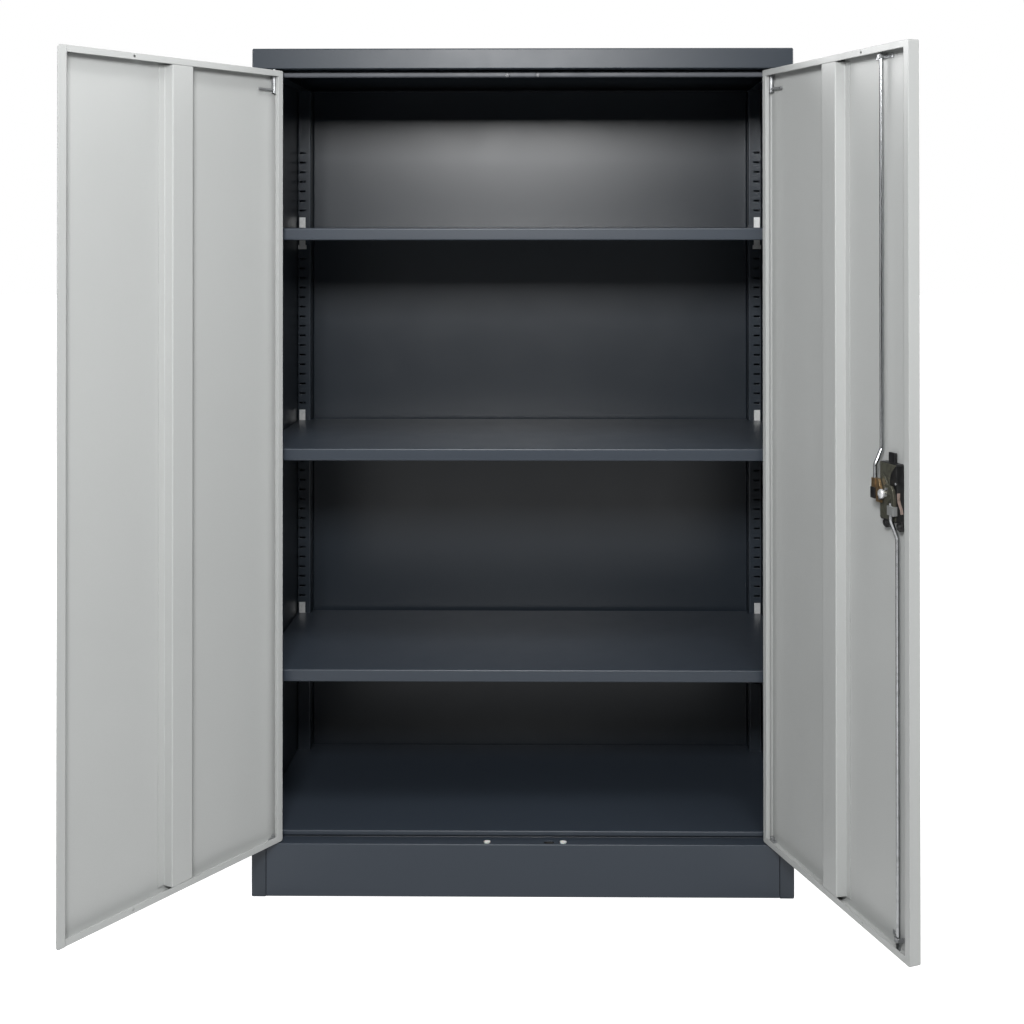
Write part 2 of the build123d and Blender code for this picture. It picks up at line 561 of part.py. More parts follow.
def lower_yoke():
    """Clamped on the lower rod; its bent link reaches up and over to the cam's other stud."""
    tip, z = CAM_X - STUD_SIDE + 2.6, CAM_Z + STUD_SIDE
    left, rod = LOWER_ROD_X - 10.6, LOWER_ROD_X
    low = CAM_Z - 27
    link = [(tip, z + 6), (left + 8, z + 6), (left + 3, z), (left, z - 14), (left, low),
            (left + 6, low), (left + 6, z - 12), (left + 9, z - 6), (tip, z - 6)]
    part = plate(link, *YOKE_Y) + block((left, rod + 4.5), CLAMP_Y, (low, low + 13))
    half = STUD_DIA / 2 + STUD_PLAY
    part -= block((CAM_X - STUD_RADIUS - half, tip + 1), YOKE_Y, (z - half, z + half))
    return part - rod_z(rod, ROD_HIGH_Y, ROD_DIA + 2 * CLAMP_FIT, low - 1, low + 14)


def rod_guide(x, z):
    """Strap over a rod, its wings on the door skin."""
    foot, crown = SHEET + GUIDE_SHEET / 2, ROD_LOW_Y + ROD_DIA / 2 + GUIDE_SHEET / 2 + 0.45
    wall = ROD_DIA / 2 + GUIDE_SHEET / 2 + 0.45
    points = [(x - GUIDE_WING, foot), (x - wall, foot), (x - wall, crown),
              (x + wall, crown), (x + wall, foot), (x + GUIDE_WING, foot)]
    return upright(points, GUIDE_SHEET, z - GUIDE_HEIGHT / 2, z + GUIDE_HEIGHT / 2)


# ---------------------------------------------------------------- small pieces
def header_buffers():
    dia, length = BUFFER
    z = CAP_Z - sum(HEADER_LIP) / 2
    return both(prism_y(BUFFER_X, z, dia, LIP_Y - length, LIP_Y))


def floor_pads():
    dia, height = PAD
    return [prism_z(x, PAD_Y, dia, PLINTH_HEIGHT, PLINTH_HEIGHT + height) for x in PAD_X]


# ---------------------------------------------------------------- assembly
def swing(shape, right):
    """Turn a closed door piece about its pivot to the open position."""
    side = 1 if right else -1
    angle = OPEN_RIGHT if right else -OPEN_LEFT
    if not right:
        shape = mirror(shape, about=Plane.YZ)
    return shape.rotate(Axis((side * PIN_X, PIN_Y, 0), (0, 0, 1)), angle)


def body_pieces():
    pieces = {
        "top_cap": top_cap(), "header_rail": header_rail(), "plinth": plinth(),
        "floor_pan": floor_pan(), "back_panel": back_panel(), "pivot_pins": pivot_pins(),
        "pivot_washers": washers(),
        "header_buffers": header_buffers(), "floor_pads": floor_pads(),
    }
    for name, shape in (("side_panel", side_panel()), ("front_post", front_post()), ("rear_post", rear_post())):
        pieces[f"{name}_left"], pieces[f"{name}_right"] = both(shape)
    for step, name in enumerate(SHELF_NAMES):
        top = SHELF_FIRST + step * SHELF_STEPS * SLOT_PITCH
        pieces[f"shelf_{name}"] = shelf(top)
        pieces[f"shelf_clips_{name}"] = clips(top)
    return pieces


def door_pieces(right):
    side = "right" if right else "left"
    shapes = {
        "door_pan": door_pan(right), "door_stiffener": stiffener(), "hinge_pin": hinge_pin(),
        "pin_sleeve": pin_sleeve(), "sleeve_bracket": sleeve_bracket(), "pivot_plate": pivot_plate(),
    }
    if not right:
        shapes["overlap_strip"] = overlap_strip()
    return {f"{side}_{name}": swing(shape, right) for name, shape in shapes.items()}


def lock_pieces():
    shapes = {
        "lock_housing": lock_housing(), "lock_plate": lock_plate(), "lock_escutcheon": escutcheon(),
        "lock_spindle": spindle(), "turn_handle": turn_handle(), "key_cylinder": key_cylinder(),
        "lock_cam": cam(), "cam_studs": studs(), "cam_screw": cam_screw(),
        "upper_rod": cranked_rod(UPPER_ROD_X, UPPER_CRANK, DOOR_Z1 - SHEET / 2),
        "lower_rod": cranked_rod(LOWER_ROD_X, LOWER_CRANK, DOOR_Z0 + SHEET / 2),
        "upper_yoke": upper_yoke(), "upper_clip": upper_clip(), "lower_yoke": lower_yoke(),
        "rod_guide_top": rod_guide(UPPER_ROD_X, DOOR_Z1 - GUIDE_INSETS[0]),
        "rod_guide_bottom": rod_guide(LOWER_ROD_X, DOOR_Z0 + GUIDE_INSETS[1]),
    }
    opened = {}
    for name, shape in shapes.items():
        group = shape if isinstance(shape, list) else [shape]
        opened[name] = [swing(piece, True) for piece in group]
    return opened


def solids_of(shape):
    group = shape if isinstance(shape, list) else [shape]
    return [solid for piece in group for solid in piece.solids()]


def main():
    os.makedirs("parts", exist_ok=True)
    pieces = {**body_pieces(), **door_pieces(False), **door_pieces(True), **lock_pieces()}
    for name, shape in pieces.items():
        solids = solids_of(shape)
        whole = solids[0] if len(solids) == 1 else Compound(children=solids)
        whole.label = name
        export_step(whole, f"parts/{name}.step")
        print(f"{name}: {len(solids)} solid(s), {sum(s.volume for s in solids) / 1000:.2f} cm3")


if __name__ == "__main__":
    main()
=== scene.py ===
"""Dresses a two-door steel tool cabinet: powder-coated body, grey pan doors and a rod lock."""

import logging
import math
from dataclasses import dataclass, replace
from enum import Enum
from typing import Callable, Iterable

import bmesh
import bpy
from bmesh.types import BMFace
from bpy.types import Material, Node, NodeSocket, NodeTree, Object
from mathutils import Matrix, Vector

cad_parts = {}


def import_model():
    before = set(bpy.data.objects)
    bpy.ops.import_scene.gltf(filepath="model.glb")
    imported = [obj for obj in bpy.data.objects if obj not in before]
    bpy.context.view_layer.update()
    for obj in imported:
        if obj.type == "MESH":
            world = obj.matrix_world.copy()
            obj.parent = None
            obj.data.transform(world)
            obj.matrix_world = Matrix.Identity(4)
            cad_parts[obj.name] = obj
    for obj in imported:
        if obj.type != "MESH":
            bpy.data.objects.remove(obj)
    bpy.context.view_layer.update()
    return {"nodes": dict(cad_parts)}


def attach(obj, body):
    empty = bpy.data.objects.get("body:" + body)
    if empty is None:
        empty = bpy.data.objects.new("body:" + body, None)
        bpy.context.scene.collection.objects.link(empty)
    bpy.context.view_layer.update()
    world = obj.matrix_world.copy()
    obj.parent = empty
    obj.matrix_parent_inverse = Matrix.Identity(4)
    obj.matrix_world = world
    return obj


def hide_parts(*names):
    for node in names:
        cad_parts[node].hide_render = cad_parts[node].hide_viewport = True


LOG = logging.getLogger("cabinet")
MM = 0.001
LOCK_AXIS = (62.6 * MM, 732.0 * MM)
UPPER_ROD_X = 83.6 * MM
LOWER_ROD_X = 44.1 * MM
Colour = tuple[float, float, float]
Point = tuple[float, float, float]
Span = tuple[float, float]
UP, DOWN, FRONT, REAR = (0, 0, 1), (0, 0, -1), (0, -1, 0), (0, 1, 0)


class Slot(Enum):
    """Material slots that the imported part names."""

    BODY = "body_paint"
    LIP = "lip_paint"
    DOOR = "door_paint"
    ZINC = "zinc"
    CHROME = "chrome"
    BRASS = "brass"
    BRONZE = "bronze_steel"
    BLACK = "black_plastic"
    WHITE = "white_plastic"


class Body(Enum):
    """Moving groups that the modelled pieces ride on."""

    CABINET = "cabinet"
    RIGHT_DOOR = "right_door"
    HANDLE = "turn_handle"


class Effect(Enum):
    """Shader node groups shared by the finishes."""

    COAT = "powder_coat_skin"
    EDGE = "worn_and_highlit_edges"
    PLATING = "plated_skin"
    MOULDING = "moulded_skin"


def linear(red: int, green: int, blue: int) -> Colour:
    """Turns a paint-card colour, 0 to 255 in each channel, into linear light."""
    def one(value: float) -> float:
        """One channel in linear light."""
        v = value / 255
        return v / 12.92 if v <= 0.04045 else ((v + 0.055) / 1.055) ** 2.4

    return one(red), one(green), one(blue)


# ---- shader wiring
@dataclass(frozen=True)
class Grain:
    """Settings of one layer of smooth noise."""

    scale: float
    detail: float
    roughness: float


class Wiring:
    """Adds nodes to one node tree and joins their sockets."""

    COLUMN_STEP, ROW_STEP, ROWS = 190, -160, 3

    def __init__(self, tree: NodeTree) -> None:
        """Keeps the tree that nodes go into."""
        self.tree = tree
        self.column = 0

    def add(self, kind: str, **settings: object) -> Node:
        """Adds a node.

        Args:
            kind: Node type without its ShaderNode prefix, or a group node type.
            settings: Properties to set on the node.

        Returns:
            The new node.
        """
        full = kind if kind.startswith("Node") else "ShaderNode" + kind
        node = self.tree.nodes.new(full)
        node.location = (self.column * self.COLUMN_STEP, self.column % self.ROWS * self.ROW_STEP)
        self.column += 1
        for name, value in settings.items():
            setattr(node, name, value)
        return node

    def join(self, source: NodeSocket, target: NodeSocket) -> None:
        """Links one socket to another."""
        self.tree.links.new(source, target)

    def feed(self, target: NodeSocket, value: object) -> None:
        """Links a socket to an input, or sets the plain value on it."""
        if isinstance(value, NodeSocket):
            self.join(value, target)
        else:
            target.default_value = value

    def math(self, operation: str, first: object, second: object = 0.0) -> NodeSocket:
        """Does arithmetic on two sockets or numbers and gives the result socket."""
        node = self.add("Math", operation=operation)
        self.feed(node.inputs[0], first)
        self.feed(node.inputs[1], second)
        return node.outputs[0]

    def ramp(self, value: object, read: Span, to_low: object = 0.0,
             to_high: object = 1.0) -> NodeSocket:
        """Maps a value's range onto another one, smoothly and clamped.

        Args:
            value: Socket to map.
            read: Start and end of the range read.
            to_low: Value at the start.
            to_high: Value at the end.

        Returns:
            The result socket.
        """
        node = self.add("MapRange", interpolation_type="SMOOTHSTEP")
        for index, item in enumerate((value, *read, to_low, to_high)):
            self.feed(node.inputs[index], item)
        return node.outputs[0]

    def mix(self, factor: object, first: object, second: object,
            blend: str = "MIX") -> NodeSocket:
        """Mixes two colours.

        Args:
            factor: Share of the second colour.
            first: First colour.
            second: Second colour.
            blend: Blend type.

        Returns:
            The result socket.
        """
        node = self.add("Mix", data_type="RGBA", blend_type=blend)
        self.feed(node.inputs[0], factor)
        self.feed(node.inputs[6], first)
        self.feed(node.inputs[7], second)
        return node.outputs[2]

    def noise(self, where: object, grain: Grain, scale: object = None) -> NodeSocket:
        """Adds smooth noise on a coordinate.

        Args:
            where: Coordinate socket.
            grain: The layer's settings.
            scale: Socket that gives the scale in the layer's place.

        Returns:
            The noise value socket.
        """
        node = self.add("TexNoise")
        self.feed(node.inputs["Vector"], where)
        self.feed(node.inputs["Scale"], grain.scale if scale is None else scale)
        node.inputs["Detail"].default_value = grain.detail
        node.inputs["Roughness"].default_value = grain.roughness
        return node.outputs[0]

    def stretched(self, where: object, scale: Point) -> NodeSocket:
        """Scales a coordinate unevenly along X, Y and Z, for streaks."""
        node = self.add("Mapping")
        self.feed(node.inputs["Vector"], where)
        node.inputs["Scale"].default_value = scale
        return node.outputs[0]


@dataclass(frozen=True)
class Socket:
    """One named input or output of a node group."""

    name: str
    kind: str = "NodeSocketFloat"
    default: object = 0.0
    is_output: bool = False


class EffectShop:
    """Builds each shared node group once and hands it out."""

    MIDDLE: Span = (0.3, 0.7)
    PEEL = Grain(420.0, 2.0, 0.45)
    PEEL_SHARE = 0.8
    FINE = Grain(2600.0, 1.0, 0.5)
    FINE_SPAN: Span = (0.25, 0.75)
    FINE_SHADE: Span = (0.96, 1.04)
    SHADE = Grain(3.2, 3.0, 0.55)
    SHEEN = Grain(14.0, 3.0, 0.6)
    BEVEL_SAMPLES = 6
    EDGE_COSINES: Span = (0.995, 0.80)
    WEAR = Grain(240.0, 3.0, 0.6)
    WEAR_SPAN: Span = (0.35, 0.65)
    WEAR_LEAST = 0.2
    DRAWN = Grain(1500.0, 3.0, 0.6)
    DRAWN_STRETCH: Point = (1.0, 1.0, 0.06)
    TARNISH = Grain(120.0, 3.0, 0.6)
    TARNISH_SPAN: Span = (0.42, 0.72)
    TARNISH_MOST = 0.7
    TARNISH_DULLS = 0.1
    PEBBLE = Grain(1800.0, 2.0, 0.55)
    BLOOM = Grain(90.0, 4.0, 0.6)
    BLOOM_SPAN: Span = (0.35, 0.75)
    BLOOM_COLOUR = (0.55, 0.55, 0.54, 1.0)
    BLOOM_DULLS = 0.12

    def __init__(self) -> None:
        """Starts with no group built."""
        self._built: dict[Effect, NodeTree] = {}
        self._recipes: dict[Effect, Callable[[], NodeTree]] = {
            Effect.COAT: self._coat,
            Effect.EDGE: self._edges,
            Effect.PLATING: self._plating,
            Effect.MOULDING: self._moulding,
        }

    def group(self, effect: Effect) -> NodeTree:
        """Gives an effect's node group, built on its first use."""
        if effect not in self._built:
            self._built[effect] = self._recipes[effect]()
        return self._built[effect]

    def place(self, wiring: Wiring, effect: Effect, **values: object) -> Node:
        """Puts an effect in a material, with input values by name and _ for a space."""
        node = wiring.add("Group", node_tree=self.group(effect))
        for name, value in values.items():
            wiring.feed(node.inputs[name.replace("_", " ")], value)
        return node

    @staticmethod
    def _open(effect: Effect, sockets: Iterable[Socket]) -> tuple[Wiring, Node, Node]:
        """Starts a node group with its sockets.

        Args:
            effect: Effect that the group makes.
            sockets: Its inputs and outputs.

        Returns:
            The wiring, the group's input node and its output node.
        """
        tree = bpy.data.node_groups.new(effect.value, "ShaderNodeTree")
        for socket in sockets:
            side = "OUTPUT" if socket.is_output else "INPUT"
            made = tree.interface.new_socket(name=socket.name, in_out=side,
                                             socket_type=socket.kind)
            if not socket.is_output and socket.kind != "NodeSocketVector":
                made.default_value = socket.default
        wiring = Wiring(tree)
        return wiring, wiring.add("NodeGroupInput"), wiring.add("NodeGroupOutput")

    @staticmethod
    def _skin_outputs() -> tuple[Socket, ...]:
        """Gives the outputs that every skin has."""
        return (Socket("Colour", "NodeSocketColor", is_output=True),
                Socket("Roughness", is_output=True), Socket("Height", is_output=True))

    def _coat(self) -> NodeTree:
        """Powder coat: orange peel, fine grain and a faint drift of shade."""
        w, given, out = self._open(Effect.COAT, (
            Socket("Colour", "NodeSocketColor", (0.5, 0.5, 0.5, 1.0)),
            Socket("Peel Scale", default=self.PEEL.scale),
            Socket("Grain Scale", default=self.FINE.scale), Socket("Drift", default=0.04),
            Socket("Gloss", default=0.4), Socket("Gloss Spread", default=0.06),
            *self._skin_outputs()))
        where = w.add("TexCoord").outputs["Object"]
        peel = w.noise(where, self.PEEL, given.outputs["Peel Scale"])
        fine = w.noise(where, self.FINE, given.outputs["Grain Scale"])
        shade = w.ramp(w.noise(where, self.SHADE), self.MIDDLE,
                       w.math("SUBTRACT", 1.0, given.outputs["Drift"]),
                       w.math("ADD", 1.0, given.outputs["Drift"]))
        tone = w.math("MULTIPLY", shade, w.ramp(fine, self.FINE_SPAN, *self.FINE_SHADE))
        tint = w.add("CombineColor")
        for index in range(3):
            w.join(tone, tint.inputs[index])
        w.join(w.mix(1.0, given.outputs["Colour"], tint.outputs[0], "MULTIPLY"),
               out.inputs["Colour"])
        sheen = w.ramp(w.noise(where, self.SHEEN), self.MIDDLE, -1.0)
        w.join(w.math("ADD", given.outputs["Gloss"],
                      w.math("MULTIPLY", sheen, given.outputs["Gloss Spread"])),
               out.inputs["Roughness"])
        w.join(w.math("ADD", w.math("MULTIPLY", peel, self.PEEL_SHARE),
                      w.math("MULTIPLY", fine, 1.0 - self.PEEL_SHARE)), out.inputs["Height"])
        return w.tree

    def _edges(self) -> NodeTree:
        """Rounded edges and the mask of where they rub; the shelf finish also paints a highlight
        along this mask.
        """
        w, given, out = self._open(Effect.EDGE, (
            Socket("Radius", default=0.0006), Socket("Breakup", default=self.WEAR.scale),
            Socket("Normal", "NodeSocketVector", is_output=True),
            Socket("Mask", is_output=True)))
        bevel = w.add("Bevel", samples=self.BEVEL_SAMPLES)
        w.join(given.outputs["Radius"], bevel.inputs["Radius"])
        dot = w.add("VectorMath", operation="DOT_PRODUCT")
        w.join(bevel.outputs[0], dot.inputs[0])
        w.join(w.add("NewGeometry").outputs["Normal"], dot.inputs[1])
        edge = w.ramp(dot.outputs["Value"], self.EDGE_COSINES)
        where = w.add("TexCoord").outputs["Object"]
        broken = w.ramp(w.noise(where, self.WEAR, given.outputs["Breakup"]), self.WEAR_SPAN,
                        self.WEAR_LEAST)
        w.join(bevel.outputs[0], out.inputs["Normal"])
        w.join(w.math("MULTIPLY", edge, broken), out.inputs["Mask"])
        return w.tree

    def _plating(self) -> NodeTree:
        """Plated metal: drawn streaks, spangle and handling marks."""
        w, given, out = self._open(Effect.PLATING, (
            Socket("Colour", "NodeSocketColor", (0.6, 0.6, 0.6, 1.0)),
            Socket("Stain", "NodeSocketColor", (0.4, 0.4, 0.38, 1.0)),
            Socket("Gloss", default=0.25), Socket("Streak", default=0.08),
            *self._skin_outputs()))
        where = w.add("TexCoord").outputs["Object"]
        drawn = w.noise(w.stretched(where, self.DRAWN_STRETCH), self.DRAWN)
        spot = w.ramp(w.noise(where, self.TARNISH), self.TARNISH_SPAN, 0.0, self.TARNISH_MOST)
        w.join(w.mix(spot, given.outputs["Colour"], given.outputs["Stain"]),
               out.inputs["Colour"])
        swing = w.math("MULTIPLY", w.ramp(drawn, self.MIDDLE, -1.0), given.outputs["Streak"])
        w.join(w.math("ADD", w.math("ADD", given.outputs["Gloss"], swing),
                      w.math("MULTIPLY", spot, self.TARNISH_DULLS)), out.inputs["Roughness"])
        w.join(drawn, out.inputs["Height"])
        return w.tree

    def _moulding(self) -> NodeTree:
        """Moulded plastic: fine spark texture and a slight bloom."""
        w, given, out = self._open(Effect.MOULDING, (
            Socket("Colour", "NodeSocketColor", (0.02, 0.02, 0.02, 1.0)),
            Socket("Bloom", default=0.05), Socket("Gloss", default=0.4),
            Socket("Pebble", default=self.PEBBLE.scale), *self._skin_outputs()))
        where = w.add("TexCoord").outputs["Object"]
        pebble = w.noise(where, self.PEBBLE, given.outputs["Pebble"])
        bloom = w.ramp(w.noise(where, self.BLOOM), self.BLOOM_SPAN)
        share = w.math("MULTIPLY", bloom, given.outputs["Bloom"])
        w.join(w.mix(share, given.outputs["Colour"], self.BLOOM_COLOUR), out.inputs["Colour"])
        w.join(w.math("ADD", given.outputs["Gloss"],
                      w.math("MULTIPLY", bloom, self.BLOOM_DULLS)), out.inputs["Roughness"])
        w.join(pebble, out.inputs["Height"])
        return w.tree


EFFECTS = EffectShop()


@dataclass(frozen=True)
class Finish:
    """A surface finish that makes its material once."""

    name: str
    slot: Slot
    colour: Colour

    def material(self) -> Material:
        """Gives the finish's material, made on its first use."""
        found = bpy.data.materials.get(self.name)
        if found is None:
            found = bpy.data.materials.new(self.name)
            found.use_nodes = True
            found.node_tree.nodes.clear()
            self._wire(Wiring(found.node_tree))
        return found

    def _wire(self, w: Wiring) -> None:
        """Builds the material's nodes."""
        raise NotImplementedError

    @staticmethod
    def _shader(w: Wiring, **constants: object) -> Node:
        """Adds the output and the surface shader, with constants on its own sockets."""
        shader = w.add("BsdfPrincipled")
        for name, value in constants.items():
            shader.inputs[name.replace("_", " ")].default_value = value
        w.join(shader.outputs[0], w.add("OutputMaterial").inputs[0])
        return shader

    @staticmethod
    def _surface(w: Wiring, shader: Node, skin: Node, edge: Node, depth: float,
                 strength: float) -> None:
        """Gives the shader its roughness and surface relief.

        Args:
            w: The material's wiring.
            shader: Surface shader.
            skin: Group node with the roughness and height.
            edge: Group node with the normal that the relief stands on.
            depth: Depth of the relief in metres.
            strength: Share of the relief shown.
        """
        w.join(skin.outputs["Roughness"], shader.inputs["Roughness"])
        bump = w.add("Bump")
        bump.inputs["Strength"].default_value = strength
        bump.inputs["Distance"].default_value = depth
        w.join(skin.outputs["Height"], bump.inputs["Height"])
        w.join(edge.outputs["Normal"], bump.inputs["Normal"])
        w.join(bump.outputs[0], shader.inputs["Normal"])


@dataclass(frozen=True)
class PowderCoat(Finish):
    """Baked powder coat on sheet steel."""

    # Colour mixed in along the edge mask: paint wear, and on the shelf finish also a painted
    # highlight.
    rubbed_and_highlight: Colour
    gloss: float = 0.38
    gloss_spread: float = 0.05
    drift: float = 0.03
    peel_depth: float = 0.00006
    edge_radius: float = 0.0016
    specular: float = 0.5
    rub: float = 0.35

    def _wire(self, w: Wiring) -> None:
        """Builds the material's nodes."""
        skin = EFFECTS.place(w, Effect.COAT, Colour=(*self.colour, 1.0), Gloss=self.gloss,
                             Gloss_Spread=self.gloss_spread, Drift=self.drift)
        edge = EFFECTS.place(w, Effect.EDGE, Radius=self.edge_radius)
        shader = self._shader(w, Specular_IOR_Level=self.specular)
        # Edge mix: paint wear, and on the shelf finish a painted highlight on its front edges.
        edge_share = w.math("MULTIPLY", edge.outputs["Mask"], self.rub)
        w.join(w.mix(edge_share, skin.outputs["Colour"], (*self.rubbed_and_highlight, 1.0)),
               shader.inputs["Base Color"])
        self._surface(w, shader, skin, edge, self.peel_depth, 1.0)


@dataclass(frozen=True)
class PlatedMetal(Finish):
    """Zinc, chrome, brass or bronzed steel."""

    stain: Colour
    gloss: float = 0.25
    streak: float = 0.06
    relief: float = 0.000008
    relief_share: float = 0.6
    edge_radius: float = 0.0003
    breakup: float = 600.0
    metallic: float = 1.0
    edge_lift: float = 1.25
    rub: float = 0.6

    def _wire(self, w: Wiring) -> None:
        """Builds the material's nodes."""
        skin = EFFECTS.place(w, Effect.PLATING, Colour=(*self.colour, 1.0),
                             Stain=(*self.stain, 1.0), Gloss=self.gloss, Streak=self.streak)
        edge = EFFECTS.place(w, Effect.EDGE, Radius=self.edge_radius, Breakup=self.breakup)
        shader = self._shader(w, Metallic=self.metallic)
        bright = tuple(min(1.0, c * self.edge_lift) for c in self.colour)
        edge_share = w.math("MULTIPLY", edge.outputs["Mask"], self.rub)
        w.join(w.mix(edge_share, skin.outputs["Colour"], (*bright, 1.0)), shader.inputs["Base Color"])
        self._surface(w, shader, skin, edge, self.relief, self.relief_share)


@dataclass(frozen=True)
class TwoToneMetal(PlatedMetal):
    """Metal whose lower end is plated in a lighter tone."""

    low: Colour = linear(170, 172, 172)
    split: Span = (717.5 * MM, 719.0 * MM)

    def _wire(self, w: Wiring) -> None:
        """Builds the material's nodes."""
        super()._wire(w)
        shader = next(node for node in w.tree.nodes if node.type == "BSDF_PRINCIPLED")
        upper = shader.inputs["Base Color"].links[0].from_socket
        place = w.add("SeparateXYZ")
        w.join(w.add("TexCoord").outputs["Object"], place.inputs[0])
        share = w.ramp(place.outputs[2], self.split)
        w.join(w.mix(share, (*self.low, 1.0), upper), shader.inputs["Base Color"])


@dataclass(frozen=True)
class MouldedPlastic(Finish):
    """Injection-moulded plastic."""

    gloss: float = 0.38
    bloom: float = 0.03
    pebble_depth: float = 0.00003
    pebble_share: float = 0.8
    edge_radius: float = 0.0005
    breakup: float = 500.0
    edge_haze: float = 0.06
    subsurface: float = 0.0
    subsurface_reach: float = 0.002

    def _wire(self, w: Wiring) -> None:
        """Builds the material's nodes."""
        skin = EFFECTS.place(w, Effect.MOULDING, Colour=(*self.colour, 1.0), Gloss=self.gloss,
                             Bloom=self.bloom)
        edge = EFFECTS.place(w, Effect.EDGE, Radius=self.edge_radius, Breakup=self.breakup)
        shader = self._shader(w, Subsurface_Weight=self.subsurface,
                              Subsurface_Scale=self.subsurface_reach)
        lifted = tuple(c + self.edge_haze * (1 - c) for c in self.colour)
        w.join(w.mix(edge.outputs["Mask"], skin.outputs["Colour"], (*lifted, 1.0)),
               shader.inputs["Base Color"])
        self._surface(w, shader, skin, edge, self.pebble_depth, self.pebble_share)


@dataclass(frozen=True)
class FinishCard:
    """The cabinet's set of finishes."""

    body: PowderCoat = PowderCoat("anthracite_coat", Slot.BODY, linear(43, 50, 58),
                                  linear(88, 95, 106), gloss=0.34, gloss_spread=0.012,
                                  drift=0.008, specular=0.42)
    cap: PowderCoat = replace(body, name="anthracite_coat_cap", gloss=0.36, specular=0.3)
    # Shaded copy of the body coat for the back panel: its darker colour is painted shade for the
    # deep compartments.
    back: PowderCoat = replace(body, name="anthracite_coat_shaded_back", colour=linear(32, 39, 47),
                               gloss=0.33, gloss_spread=0.01, drift=0.006, specular=0.52)
    # Lit copy of the body coat for the shelves, plinth and floor pan: its lighter base colour is
    # painted highlight for the extra light on these front edges and tops, and its lighter edge
    # colour is paint wear with painted highlight.
    shelf: PowderCoat = replace(body, name="anthracite_coat_lit_shelf", colour=linear(50, 57, 66),
                                rubbed_and_highlight=linear(104, 111, 122), gloss=0.36)
    lip: PowderCoat = PowderCoat("header_coat", Slot.LIP, linear(74, 77, 83),
                                 linear(104, 108, 114), gloss=0.42, specular=0.25)
    door: PowderCoat = PowderCoat("light_grey_coat", Slot.DOOR, linear(177, 179, 178),
                                  linear(206, 207, 206), gloss=0.42, drift=0.012)
    zinc: PlatedMetal = PlatedMetal("bright_zinc", Slot.ZINC, linear(148, 150, 152),
                                    linear(120, 122, 122), gloss=0.32, streak=0.03,
                                    metallic=0.5)
    rod: PlatedMetal = PlatedMetal("drawn_rod", Slot.ZINC, linear(176, 178, 180),
                                   linear(150, 152, 153), gloss=0.18, streak=0.02,
                                   relief=0.000002)
    clip: PlatedMetal = PlatedMetal("white_zinc", Slot.ZINC, linear(216, 217, 217),
                                    linear(196, 198, 197), gloss=0.45, metallic=0.35)
    link: PlatedMetal = PlatedMetal("copper_flashed_steel", Slot.BRONZE,
                                    linear(206, 184, 174), linear(150, 122, 110), gloss=0.36,
                                    metallic=0.6)
    chrome: PlatedMetal = PlatedMetal("chrome_plate", Slot.CHROME, linear(226, 227, 229),
                                      linear(196, 197, 198), gloss=0.09, streak=0.02)
    screw: PlatedMetal = PlatedMetal("satin_nickel", Slot.CHROME, linear(228, 229, 230),
                                     linear(200, 202, 203), gloss=0.32, streak=0.03,
                                     metallic=0.55)
    brass: PlatedMetal = PlatedMetal("yellow_brass", Slot.BRASS, linear(158, 134, 102),
                                     linear(108, 84, 60), gloss=0.36, metallic=0.85)
    bronze: PlatedMetal = PlatedMetal("bronzed_steel", Slot.BRONZE, linear(84, 84, 74),
                                      linear(62, 62, 55), gloss=0.46, streak=0.05,
                                      metallic=0.45, edge_radius=0.0009, edge_lift=4.0)
    yoke: TwoToneMetal = TwoToneMetal("olive_link_zinc_clamp", Slot.BRONZE,
                                      linear(96, 95, 84), linear(70, 69, 60), gloss=0.36,
                                      streak=0.05, metallic=0.6, edge_radius=0.0009,
                                      edge_lift=4.0)
    black: MouldedPlastic = MouldedPlastic("black_moulding", Slot.BLACK, linear(20, 20, 21))
    white: MouldedPlastic = MouldedPlastic("white_nylon", Slot.WHITE, linear(228, 228, 224),
                                           gloss=0.4, bloom=0.0, subsurface=0.15)
    buffer: MouldedPlastic = MouldedPlastic("grey_rubber", Slot.WHITE, linear(142, 143, 146),
                                            gloss=0.3)

    def by_slot(self) -> dict[str, Finish]:
        """Gives each record slot's finish."""
        found = (self.body, self.lip, self.door, self.zinc, self.chrome, self.brass,
                 self.bronze, self.black, self.white)
        return {finish.slot.value: finish for finish in found}

    def by_node(self) -> dict[str, Finish]:
        """Gives the finish of each node that differs from the rest of its slot."""
        shelves = [f"shelf_{level}" for level in ("lower", "middle", "upper")]
        clips = [f"shelf_clips_{level}" for level in ("lower", "middle", "upper")]
        return {"top_cap": self.cap, "back_panel": self.back, "lower_yoke": self.yoke,
                **dict.fromkeys(("plinth", "floor_pan", *shelves), self.shelf),
                **dict.fromkeys(clips, self.clip),
                **dict.fromkeys(("upper_rod", "lower_rod"), self.rod)}


# ---- studio
@dataclass
class SoftBox:
    """A rectangular studio lamp aimed at a point."""

    name: str
    at: Point
    aim: Point
    size: Span
    watts: float

    def hang(self) -> None:
        """Puts the lamp in the scene."""
        lamp = bpy.data.lights.new(self.name, "AREA")
        lamp.shape = "RECTANGLE"
        lamp.size, lamp.size_y = self.size
        lamp.energy = self.watts
        holder = bpy.data.objects.new(self.name, lamp)
        bpy.context.scene.collection.objects.link(holder)
        holder.visible_camera = False
        holder.location = self.at
        toward = Vector(self.aim) - Vector(self.at)
        holder.rotation_euler = toward.to_track_quat("-Z", "Y").to_euler()


